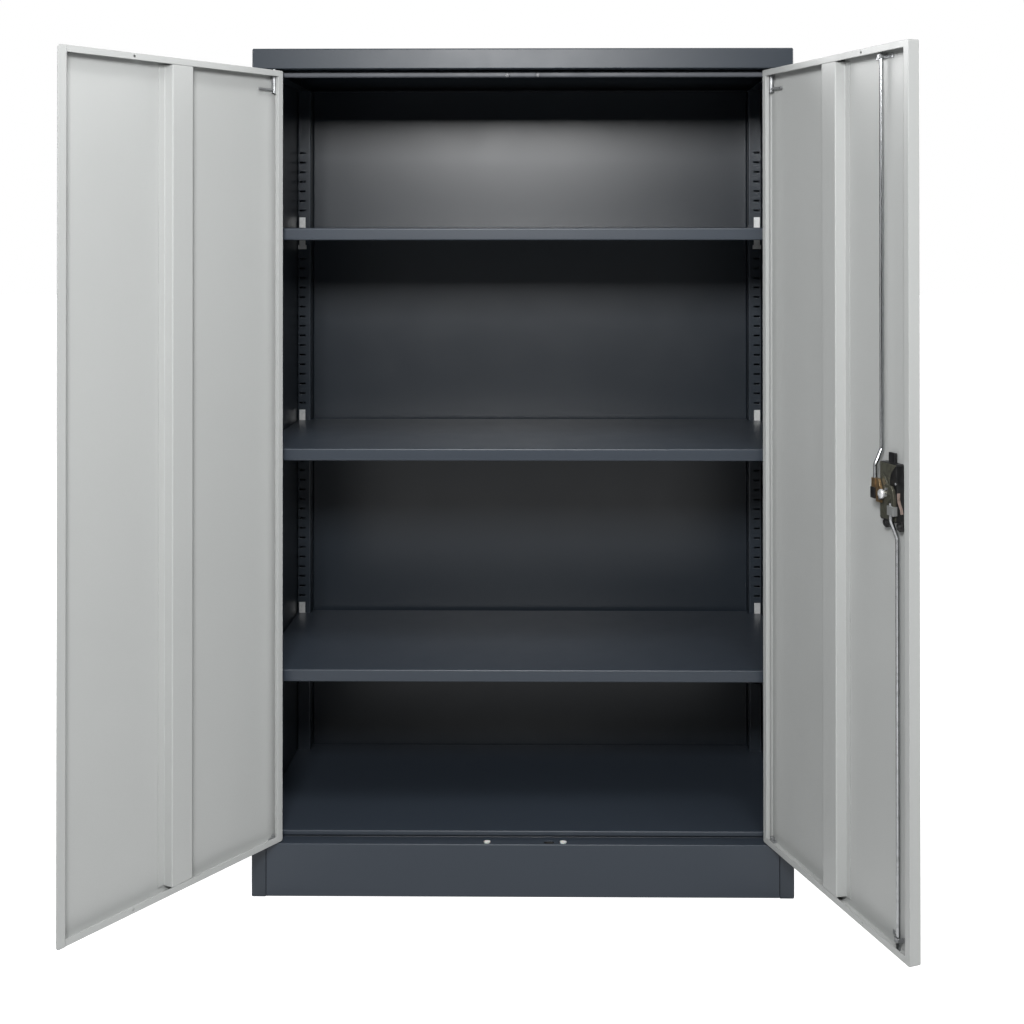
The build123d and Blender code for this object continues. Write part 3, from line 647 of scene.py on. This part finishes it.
@dataclass
class Studio:
    """Pale floor, white surround, dark drape behind the camera and soft lamps."""

    floor_size: float = 40.0
    floor_drop: float = 0.0005
    floor_shade: float = 0.55
    floor_lift: Span = (0.84, 0.97)
    floor_mirrored: float = 0.4
    floor_reach: Span = (1.0, 4.0)
    footprint: Point = (0.445, 0.205, 0.21)
    footprint_edge: float = 0.02
    surround: float = 0.3
    drape: Point = (12.0, 6.0, -5.2)
    drape_shade: float = 0.03
    lamps: tuple[SoftBox, ...] = (
        SoftBox("key_bank", (-0.135, -2.15, 1.8), (0.0, 0.4, 0.8), (0.6, 0.42), 50.0),
        SoftBox("top_bank", (1.5, -3.2, 6.5), (0.0, 0.0, 0.7), (2.4, 1.6), 175.0),
        SoftBox("rear_left_bank", (-3.0, 2.6, 2.4), (-0.2, 0.2, 0.7), (1.8, 1.8), 130.0),
        SoftBox("rear_right_bank", (3.0, 2.6, 2.4), (0.2, 0.2, 0.7), (1.8, 1.8), 130.0),
    )

    def build(self) -> None:
        """Builds the floor, drape, surround and lamps."""
        self._floor()
        self._drape()
        self._surround()
        for lamp in self.lamps:
            lamp.hang()
        bpy.context.scene.view_settings.view_transform = "Standard"

    @staticmethod
    def _sheet(name: str, size: float) -> tuple[Object, Wiring]:
        """Adds a flat stage sheet with an empty material.

        Args:
            name: Name of the sheet.
            size: Side of its square in metres.

        Returns:
            The sheet and its material's wiring.
        """
        bpy.ops.object.select_all(action="DESELECT")
        bpy.ops.mesh.primitive_plane_add(size=size)
        sheet = bpy.context.active_object
        sheet.name = name
        material = bpy.data.materials.new(name)
        material.use_nodes = True
        material.node_tree.nodes.clear()
        sheet.data.materials.append(material)
        return sheet, Wiring(material.node_tree)

    def _floor(self) -> None:
        """Lays the floor sheet."""
        floor, w = self._sheet("studio_floor", self.floor_size)
        floor.location.z = -self.floor_drop
        matt = self._matt(w, self.floor_shade)
        away = w.add("VectorMath", operation="LENGTH")
        w.join(w.add("TexCoord").outputs["Object"], away.inputs[0])
        glow = w.ramp(away.outputs["Value"], self.floor_reach, *self.floor_lift)
        lifted = w.math("MULTIPLY", glow, self._outside(w))
        lift = w.add("Emission")
        lift.inputs["Color"].default_value = (1.0, 1.0, 1.0, 1.0)
        w.join(w.math("MULTIPLY", self._seen(w, self.floor_mirrored), lifted),
               lift.inputs["Strength"])
        both = w.add("AddShader")
        w.join(matt.outputs[0], both.inputs[0])
        w.join(lift.outputs[0], both.inputs[1])
        w.join(both.outputs[0], w.add("OutputMaterial").inputs[0])

    def _outside(self, w: Wiring) -> NodeSocket:
        """Marks the floor by 0 under the cabinet and 1 elsewhere."""
        place = w.add("SeparateXYZ")
        w.join(w.add("TexCoord").outputs["Object"], place.inputs[0])
        half_width, half_depth, middle = self.footprint
        beside = w.ramp(w.math("ABSOLUTE", place.outputs[0]),
                        (half_width - self.footprint_edge, half_width))
        behind = w.ramp(w.math("ABSOLUTE", w.math("SUBTRACT", place.outputs[1], middle)),
                        (half_depth - self.footprint_edge, half_depth))
        return w.math("MAXIMUM", beside, behind)

    @staticmethod
    def _matt(w: Wiring, shade: float) -> Node:
        """Adds a matt grey shader of the given shade."""
        matt = w.add("BsdfDiffuse")
        matt.inputs["Color"].default_value = (shade, shade, shade, 1.0)
        return matt

    def _drape(self) -> None:
        """Hangs the dark drape that the lamp stands before, out of the camera's sight."""
        width, height, y = self.drape
        drape, w = self._sheet("studio_drape", 1.0)
        drape.scale = (width, height, 1.0)
        drape.rotation_euler = (math.radians(90.0), 0.0, 0.0)
        drape.location = (0.0, y, height / 2)
        drape.visible_camera = False
        w.join(self._matt(w, self.drape_shade).outputs[0], w.add("OutputMaterial").inputs[0])

    def _surround(self) -> None:
        """Sets the white surround behind and around the cabinet."""
        world = bpy.data.worlds.new("white_surround")
        world.use_nodes = True
        world.node_tree.nodes.clear()
        w = Wiring(world.node_tree)
        glow = w.add("Background")
        glow.inputs["Color"].default_value = (1.0, 1.0, 1.0, 1.0)
        rest = w.math("MULTIPLY", self._seen(w), 1.0 - self.surround)
        w.join(w.math("ADD", self.surround, rest), glow.inputs["Strength"])
        w.join(glow.outputs[0], w.add("OutputWorld").inputs[0])
        bpy.context.scene.world = world

    @staticmethod
    def _seen(w: Wiring, mirrored: float = 1.0) -> NodeSocket:
        """Marks rays from the camera and through glass by 1, and from gloss by a share."""
        path = w.add("LightPath")
        gloss = w.math("MULTIPLY", path.outputs["Is Glossy Ray"], mirrored)
        both = w.math("MAXIMUM", path.outputs["Is Camera Ray"], gloss)
        return w.math("MAXIMUM", both, path.outputs["Is Transmission Ray"])


@dataclass
class ViewCamera:
    """The camera that looks at the open cabinet."""

    at: Point = (0.0827, -2.32279, 1.11341)
    yaw: float = -0.5665
    pitch: float = 0.3135
    roll: float = -0.0261
    focal_pixels: float = 1398.86
    frame_pixels: float = 1024.0
    sensor: float = 36.0
    shift: Span = (-0.0451, -0.2874)
    clip_end: float = 200.0

    def build(self) -> None:
        """Places the camera and makes it the scene's own."""
        yaw, pitch, roll = (math.radians(v) for v in (self.yaw, self.pitch, self.roll))
        ahead = Vector((math.sin(yaw) * math.cos(pitch), math.cos(yaw) * math.cos(pitch),
                        math.sin(pitch)))
        right = ahead.cross(Vector((0.0, 0.0, 1.0))).normalized()
        up = right.cross(ahead)
        across = right * math.cos(roll) + up * math.sin(roll)
        rise = up * math.cos(roll) - right * math.sin(roll)
        lens = bpy.data.cameras.new("view_camera")
        lens.sensor_width = self.sensor
        lens.lens = self.focal_pixels * self.sensor / self.frame_pixels
        lens.shift_x, lens.shift_y = self.shift
        lens.clip_end = self.clip_end
        holder = bpy.data.objects.new("view_camera", lens)
        turned = Matrix((across, rise, -ahead)).transposed().to_4x4()
        holder.matrix_world = Matrix.Translation(self.at) @ turned
        bpy.context.scene.collection.objects.link(holder)
        bpy.context.scene.camera = holder


# ---- modelling moves
class Bench:
    """Modelling moves on one piece at a time."""

    TOP_RING = 0.35
    WELD = 0.004 * MM
    ROUND_SHADING = 50.0

    @staticmethod
    def clear() -> None:
        """Deselects everything."""
        bpy.ops.object.select_all(action="DESELECT")

    @classmethod
    def take(cls, piece: Object) -> None:
        """Makes a piece the only one selected."""
        cls.clear()
        piece.select_set(True)
        bpy.context.view_layer.objects.active = piece

    @classmethod
    def disc(cls, name: str, radius: float, depth: float, at: Point, sides: int = 32,
             along: str = "Z") -> Object:
        """Starts a piece from a round blank.

        Args:
            name: Name of the piece.
            radius: Radius of the blank.
            depth: Length along its axis.
            at: Its middle.
            sides: Sides of the round.
            along: Axis letter, Y for blanks that stand out of a door.

        Returns:
            The piece.
        """
        cls.clear()
        turn = (math.radians(90.0), 0.0, 0.0) if along == "Y" else (0.0, 0.0, 0.0)
        bpy.ops.mesh.primitive_cylinder_add(vertices=sides, radius=radius, depth=depth,
                                            location=at, rotation=turn)
        return cls._named(name)

    @classmethod
    def block(cls, name: str, size: Point, at: Point) -> Object:
        """Starts a piece from a rectangular blank of a size, around its middle."""
        cls.clear()
        bpy.ops.mesh.primitive_cube_add(size=1.0, location=at, scale=size)
        return cls._named(name)

    @classmethod
    def _named(cls, name: str) -> Object:
        """Names the new blank and fixes its place in its mesh."""
        piece = bpy.context.active_object
        piece.name = piece.data.name = name
        bpy.ops.object.transform_apply(location=True, rotation=True, scale=True)
        return piece

    @staticmethod
    def pick(piece: Object, test: Callable[[BMFace], bool]) -> int:
        """Selects the faces that pass a test, in edit mode.

        Args:
            piece: Piece in edit mode.
            test: Says whether a face is wanted.

        Returns:
            How many faces are selected.
        """
        bpy.ops.mesh.select_mode(type="FACE")
        bpy.ops.mesh.select_all(action="DESELECT")
        sheet = bmesh.from_edit_mesh(piece.data)
        wanted = [face for face in sheet.faces if test(face)]
        for face in wanted:
            face.select_set(True)
        bmesh.update_edit_mesh(piece.data)
        return len(wanted)

    @staticmethod
    def facing(direction: Point, least: float = 0.95) -> Callable[[BMFace], bool]:
        """Makes a test for faces whose normal is near one direction, by its cosine."""
        way = Vector(direction).normalized()
        return lambda face: face.normal.dot(way) > least

    @classmethod
    def crown(cls, piece: Object, direction: Point, radius: float, rise: float,
              rings: int) -> None:
        """Swells an end face into a dome, ring by ring.

        Args:
            piece: Piece to shape.
            direction: The way the end face looks.
            radius: Radius of the end.
            rise: Height of the dome.
            rings: Rings in it.
        """
        cls.take(piece)
        bpy.ops.object.mode_set(mode="EDIT")
        cls.pick(piece, cls.facing(direction))
        for ring in range(rings):
            low, high = (math.radians(90.0 * step / (rings + cls.TOP_RING))
                         for step in (ring, ring + 1))
            bpy.ops.mesh.inset(thickness=radius * (math.cos(low) - math.cos(high)),
                               depth=rise * (math.sin(high) - math.sin(low)),
                               use_even_offset=False)
        bpy.ops.object.mode_set(mode="OBJECT")

    @classmethod
    def step(cls, piece: Object, direction: Point, inward: float, outward: float) -> None:
        """Insets an end face and moves it in or out.

        Args:
            piece: Piece to shape.
            direction: The way the face looks.
            inward: Inset.
            outward: Move along the face's normal.
        """
        cls.take(piece)
        bpy.ops.object.mode_set(mode="EDIT")
        cls.pick(piece, cls.facing(direction))
        bpy.ops.mesh.inset(thickness=inward, depth=0.0, use_even_offset=False)
        move = Vector(direction).normalized() * outward
        bpy.ops.mesh.extrude_region_move(TRANSFORM_OT_translate={"value": move})
        bpy.ops.object.mode_set(mode="OBJECT")

    @classmethod
    def soften(cls, piece: Object, width: float, segments: int, angle: float = 40.0) -> None:
        """Rounds a piece's edges.

        Args:
            piece: Piece to round.
            width: Width of the rounding.
            segments: Faces across it.
            angle: Least angle of an edge that is rounded, in degrees.
        """
        cls.take(piece)
        bevel = piece.modifiers.new("rounding", "BEVEL")
        bevel.width = width
        bevel.segments = segments
        bevel.limit_method = "ANGLE"
        bevel.angle_limit = math.radians(angle)
        bpy.ops.object.modifier_apply(modifier=bevel.name)

    @classmethod
    def combine(cls, piece: Object, other: Object, operation: str) -> None:
        """Cuts one piece out of another, or joins it on.

        Args:
            piece: Piece that is changed.
            other: Piece that is used up by it.
            operation: DIFFERENCE to cut or UNION to join.
        """
        cls.take(piece)
        boolean = piece.modifiers.new("combine", "BOOLEAN")
        boolean.operation = operation
        boolean.solver = "EXACT"
        boolean.object = other
        bpy.ops.object.modifier_apply(modifier=boolean.name)
        bpy.data.objects.remove(other, do_unlink=True)

    @classmethod
    def rivet(cls, name: str, radius: float, rim: float, rise: float, at: Point) -> Object:
        """Starts a rivet head on a door's inner side: a rim around a point, then a dome."""
        head = cls.disc(name, radius, rim, at, 24, "Y")
        cls.crown(head, REAR, radius, rise, 5)
        return head

    @classmethod
    def another(cls, piece: Object, name: str, shift: Point) -> Object:
        """Copies a piece with its own mesh.

        Args:
            piece: Piece to copy.
            name: Name of the copy.
            shift: How far it moves.

        Returns:
            The copy.
        """
        cls.take(piece)
        bpy.ops.object.duplicate(linked=False)
        twin = bpy.context.active_object
        twin.name = twin.data.name = name
        twin.location = shift
        bpy.ops.object.transform_apply(location=True, rotation=False, scale=False)
        return twin

    @classmethod
    def hand_over(cls, piece: Object, body: Body, finish: Finish, turn: Matrix | None = None,
                  stands_for: tuple[str, ...] = (), smooth: float = 35.0) -> None:
        """Dresses a finished piece and fixes it to its body.

        Args:
            piece: The piece.
            body: Body that it rides on.
            finish: Its finish.
            turn: Move from where it was modelled to where it stands.
            stands_for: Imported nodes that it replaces.
            smooth: Largest angle that is shaded smooth, in degrees.
        """
        cls.take(piece)
        bpy.ops.object.mode_set(mode="EDIT")
        bpy.ops.mesh.select_all(action="SELECT")
        bpy.ops.mesh.remove_doubles(threshold=cls.WELD)
        bpy.ops.mesh.normals_make_consistent(inside=False)
        bpy.ops.object.mode_set(mode="OBJECT")
        if turn is not None:
            piece.matrix_world = turn
            bpy.ops.object.transform_apply(location=True, rotation=True, scale=True)
        bpy.ops.object.shade_smooth_by_angle(angle=math.radians(smooth))
        piece.data.materials.clear()
        piece.data.materials.append(finish.material())
        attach(piece, body.value)
        if stands_for:
            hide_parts(*stands_for)
        LOG.info("%s rides on %s: %d faces", piece.name, body.value, len(piece.data.polygons))

    @classmethod
    def hand_over_pair(cls, pair: tuple[Object, ...], finish: Finish, node: str) -> None:
        """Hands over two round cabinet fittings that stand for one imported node."""
        for piece in pair:
            cls.hand_over(piece, Body.CABINET, finish, stands_for=(node,),
                          smooth=cls.ROUND_SHADING)


@dataclass(frozen=True)
class DoorTurn:
    """Move of a piece from the shut door to the open one."""

    pivot: Span = (414.2 * MM, 6.0 * MM)
    opened: float = 110.5

    def matrix(self) -> Matrix:
        """Gives the move as a matrix."""
        there = Matrix.Translation((*self.pivot, 0.0))
        return there @ Matrix.Rotation(math.radians(self.opened), 4, "Z") @ there.inverted()


# ---- small fittings
@dataclass
class FloorPads:
    """Two domed pads on the recess shelf that the doors close down on."""

    finish: Finish
    radius: float = 5.7 * MM
    base: float = 87.7 * MM
    rim: float = 0.8 * MM
    shoulder: float = 0.1
    crown: float = 1.15 * MM
    places: Span = (-59.1 * MM, 67.5 * MM)
    y: float = 8.0 * MM

    def build(self) -> None:
        """Makes the pads."""
        left, right = self.places
        pad = Bench.disc("floor_pad_left", self.radius, self.rim,
                         (left, self.y, self.base + self.rim / 2))
        Bench.step(pad, UP, self.radius * self.shoulder, 0.0)
        Bench.crown(pad, UP, self.radius * (1 - self.shoulder), self.crown, 6)
        twin = Bench.another(pad, "floor_pad_right", (right - left, 0.0, 0.0))
        Bench.hand_over_pair((pad, twin), self.finish, "floor_pads")


@dataclass
class HeaderBuffers:
    """Two nosed buffers on the header lip that the doors shut against."""

    finish: Finish
    radius: float = 3.5 * MM
    lip_y: float = 22.0 * MM
    flange: float = 1.0 * MM
    barrel: float = 1.0 * MM
    shoulder: float = 0.2
    crown: float = 1.55 * MM
    x: float = 25.6 * MM
    z: float = 1365.8 * MM

    def build(self) -> None:
        """Makes the buffers."""
        nose = Bench.disc("header_buffer_left", self.radius, self.flange,
                          (-self.x, self.lip_y - self.flange / 2, self.z), 28, "Y")
        Bench.step(nose, FRONT, self.radius * self.shoulder, self.barrel)
        Bench.crown(nose, FRONT, self.radius * (1 - self.shoulder), self.crown, 5)
        twin = Bench.another(nose, "header_buffer_right", (2 * self.x, 0.0, 0.0))
        Bench.hand_over_pair((nose, twin), self.finish, "header_buffers")


@dataclass
class RodCatches:
    """Open pockets behind the slots that the lock rods shoot into."""

    finish: Finish
    inside: Point = (18.0 * MM, 11.0 * MM, 19.0 * MM)
    sheet: float = 0.8 * MM
    rounding: float = 0.25 * MM
    lower: Point = (LOWER_ROD_X, 8.0 * MM, 86.6 * MM)
    upper: Point = (UPPER_ROD_X, 8.0 * MM, 1375.5 * MM)

    def build(self) -> None:
        """Makes the pockets, the upper one turned mouth down."""
        width, depth, height = self.inside
        for name, (x, y, z), way in (("rod_catch_lower", self.lower, UP),
                                     ("rod_catch_upper", self.upper, DOWN)):
            size = (width + 2 * self.sheet, depth + 2 * self.sheet, height)
            pocket = Bench.block(name, size, (x, y, z - way[2] * height / 2))
            Bench.step(pocket, way, self.sheet, -(height - self.sheet))
            Bench.soften(pocket, self.rounding, 2)
            Bench.hand_over(pocket, Body.CABINET, self.finish)


# ---- lock
@dataclass
class CamScrew:
    """Shouldered pan-head screw that holds the cam and both yokes."""

    finish: Finish
    turn: Matrix
    shank_radius: float = 4.6 * MM
    foot: float = 15.75 * MM
    seat: float = 21.2 * MM
    head_radius: float = 6.6 * MM
    rim: float = 2.9 * MM
    crown: float = 2.2 * MM
    recess: Point = (7.4 * MM, 1.5 * MM, 2.4 * MM)
    recess_sunk: float = 0.15

    def build(self) -> None:
        """Makes the screw."""
        x, z = LOCK_AXIS
        screw = Bench.disc("cam_screw_head", self.head_radius, self.rim,
                           (x, self.seat + self.rim / 2, z), 40, "Y")
        Bench.crown(screw, REAR, self.head_radius, self.crown, 7)
        Bench.step(screw, FRONT, self.head_radius - self.shank_radius, self.seat - self.foot)
        length, width, depth = self.recess
        middle = (x, self.seat + self.rim + self.crown - depth * self.recess_sunk, z)
        for size in ((length, depth, width), (width, depth, length)):
            Bench.combine(screw, Bench.block("cross_tool", size, middle), "DIFFERENCE")
        Bench.hand_over(screw, Body.HANDLE, self.finish, self.turn, ("cam_screw",), 30.0)


@dataclass
class LockTrim:
    """Screws, rivet and spring arm on the lock housing."""

    black: Finish
    steel: Finish
    arm: Finish
    turn: Matrix
    bosses: tuple[Span, ...] = ((69.6 * MM, 689.0 * MM), (35.6 * MM, 689.0 * MM))
    boss_top: float = 10.0 * MM
    boss: Span = (5.2 * MM, 1.0 * MM)
    boss_hollow: Span = (1.1 * MM, -0.6 * MM)
    boss_head: Span = (1.0 * MM, 1.5 * MM)
    boss_crown: Span = (3.1 * MM, 0.8 * MM)
    rivet: Point = (41.0 * MM, 13.35 * MM, 748.5 * MM)
    rivet_head: Point = (1.9 * MM, 0.3 * MM, 0.7 * MM)
    arm_size: Point = (0.8 * MM, 4.6 * MM, 8.0 * MM)
    arm_at: Point = (36.9 * MM, 11.0 * MM, 732.0 * MM)
    arm_bends: tuple[Span, ...] = ((-1.4 * MM, -7.0 * MM), (-3.4 * MM, -9.0 * MM),
                                   (-0.6 * MM, -6.0 * MM))
    arm_rounding: float = 0.25 * MM

    def build(self) -> None:
        """Makes the boss screws, the rivet and the spring arm."""
        radius, height = self.boss
        for number, (x, z) in enumerate(self.bosses, 1):
            ring = Bench.disc(f"boss_screw_{number}", radius, height,
                              (x, self.boss_top + height / 2, z), 28, "Y")
            Bench.step(ring, REAR, *self.boss_hollow)
            Bench.step(ring, REAR, *self.boss_head)
            Bench.crown(ring, REAR, *self.boss_crown, 4)
            Bench.hand_over(ring, Body.RIGHT_DOOR, self.black, self.turn, smooth=40.0)
        rivet = Bench.rivet("housing_rivet", *self.rivet_head, self.rivet)
        Bench.hand_over(rivet, Body.RIGHT_DOOR, self.steel, self.turn,
                        smooth=Bench.ROUND_SHADING)
        self._spring_arm()

    def _spring_arm(self) -> None:
        """Makes the flat arm that runs down the housing's free side."""
        arm = Bench.block("spring_arm", self.arm_size, self.arm_at)
        Bench.take(arm)
        bpy.ops.object.mode_set(mode="EDIT")
        for bend in self.arm_bends:
            Bench.pick(arm, Bench.facing(DOWN, 0.7))
            bpy.ops.mesh.extrude_region_move(TRANSFORM_OT_translate={"value": (0.0, *bend)})
        bpy.ops.object.mode_set(mode="OBJECT")
        Bench.soften(arm, self.arm_rounding, 2, 30.0)
        Bench.hand_over(arm, Body.RIGHT_DOOR, self.arm, self.turn)


@dataclass
class GuideRivets:
    """Rivets through the wings of both rod guides."""

    finish: Finish
    turn: Matrix
    rods: tuple[Span, ...] = ((UPPER_ROD_X, 1356.4 * MM), (LOWER_ROD_X, 107.0 * MM))
    reach: float = 15.5 * MM
    rim_middle: float = 2.62 * MM
    head: Point = (1.8 * MM, 0.25 * MM, 0.75 * MM)

    def build(self) -> None:
        """Makes the four rivets."""
        first_x, first_z = self.rods[0][0] - self.reach, self.rods[0][1]
        first = Bench.rivet("guide_rivet_1", *self.head, (first_x, self.rim_middle, first_z))
        heads = [first]
        for rod_x, rod_z in self.rods:
            for side in (-1, 1):
                shift = (rod_x + side * self.reach - first_x, 0.0, rod_z - first_z)
                if any(shift):
                    heads.append(Bench.another(first, f"guide_rivet_{len(heads) + 1}", shift))
        for head in heads:
            Bench.hand_over(head, Body.RIGHT_DOOR, self.finish, self.turn,
                            smooth=Bench.ROUND_SHADING)


@dataclass
class TurnHandle:
    """Upright wing grip on a round hub, bored for the key cylinder."""

    finish: Finish
    turn: Matrix
    grip: Point = (20.0 * MM, 14.0 * MM, 84.0 * MM)
    grip_cuts: int = 5
    waist: tuple[float, Point] = (0.22, (0.8, 1.0, 1.0))
    tip: tuple[float, Point] = (0.36, (0.86, 0.8, 1.0))
    grip_rounding: float = 3.2 * MM
    back: float = -2.8 * MM
    hub: Span = (13.0 * MM, 9.2 * MM)
    hub_rim: float = 0.8 * MM
    bore: Span = (9.05 * MM, 12.0 * MM)
    bore_middle: float = 3.0 * MM
    seam_rounding: float = 0.35 * MM

    def build(self) -> None:
        """Makes the handle."""
        x, z = LOCK_AXIS
        width, depth, length = self.grip
        radius, tall = self.hub
        front = self.back - tall - depth
        wing = Bench.block("turn_handle_wing", (width, depth, length), (x, front + depth / 2, z))
        Bench.take(wing)
        bpy.ops.object.mode_set(mode="EDIT")
        bpy.ops.mesh.select_all(action="SELECT")
        bpy.ops.mesh.subdivide(number_cuts=self.grip_cuts)
        for side in (-1, 1):
            for (share, taper), y in ((self.waist, front), (self.tip, front + depth)):
                least = length * share
                Bench.pick(wing, lambda face, side=side, least=least:
                           side * (face.calc_center_median().z - z) > least)
                bpy.ops.transform.resize(value=taper, center_override=(x, y, z))
        bpy.ops.object.mode_set(mode="OBJECT")
        Bench.soften(wing, self.grip_rounding, 5, 50.0)
        hub = Bench.disc("hub_blank", radius, tall, (x, self.back - tall / 2, z), 48, "Y")
        Bench.step(hub, REAR, self.hub_rim, 0.0)
        Bench.combine(wing, hub, "UNION")
        bore = Bench.disc("bore_tool", *self.bore, (x, front + self.bore_middle, z), 48, "Y")
        Bench.combine(wing, bore, "DIFFERENCE")
        Bench.soften(wing, self.seam_rounding, 2, 45.0)
        Bench.hand_over(wing, Body.HANDLE, self.finish, self.turn, ("turn_handle",), 40.0)


@dataclass
class SheetMetal:
    """Packed sheet and turned parts, dressed by their slots."""

    finishes: FinishCard
    nodes: dict[str, Object]

    def dress(self) -> int:
        """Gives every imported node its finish.

        Returns:
            How many nodes were dressed.
        """
        by_slot, by_node = self.finishes.by_slot(), self.finishes.by_node()
        for name, node in self.nodes.items():
            for holder in node.material_slots:
                finish = by_node.get(name) or by_slot[holder.material.name.split(".")[0]]
                holder.material = finish.material()
        return len(self.nodes)


def main() -> None:
    """Builds the dressed cabinet and its studio."""
    logging.basicConfig(level=logging.INFO, format="%(name)s: %(message)s")
    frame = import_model()
    finishes = FinishCard()
    ViewCamera().build()
    Studio().build()
    count = SheetMetal(finishes, frame["nodes"]).dress()
    LOG.info("packed parts dressed: %d", count)
    turn = DoorTurn().matrix()
    fittings = (FloorPads(finishes.white), HeaderBuffers(finishes.buffer),
                RodCatches(finishes.black), CamScrew(finishes.screw, turn),
                LockTrim(finishes.black, finishes.zinc, finishes.link, turn),
                GuideRivets(finishes.zinc, turn), TurnHandle(finishes.black, turn))
    for fitting in fittings:
        fitting.build()


if __name__ == "__main__":
    main()
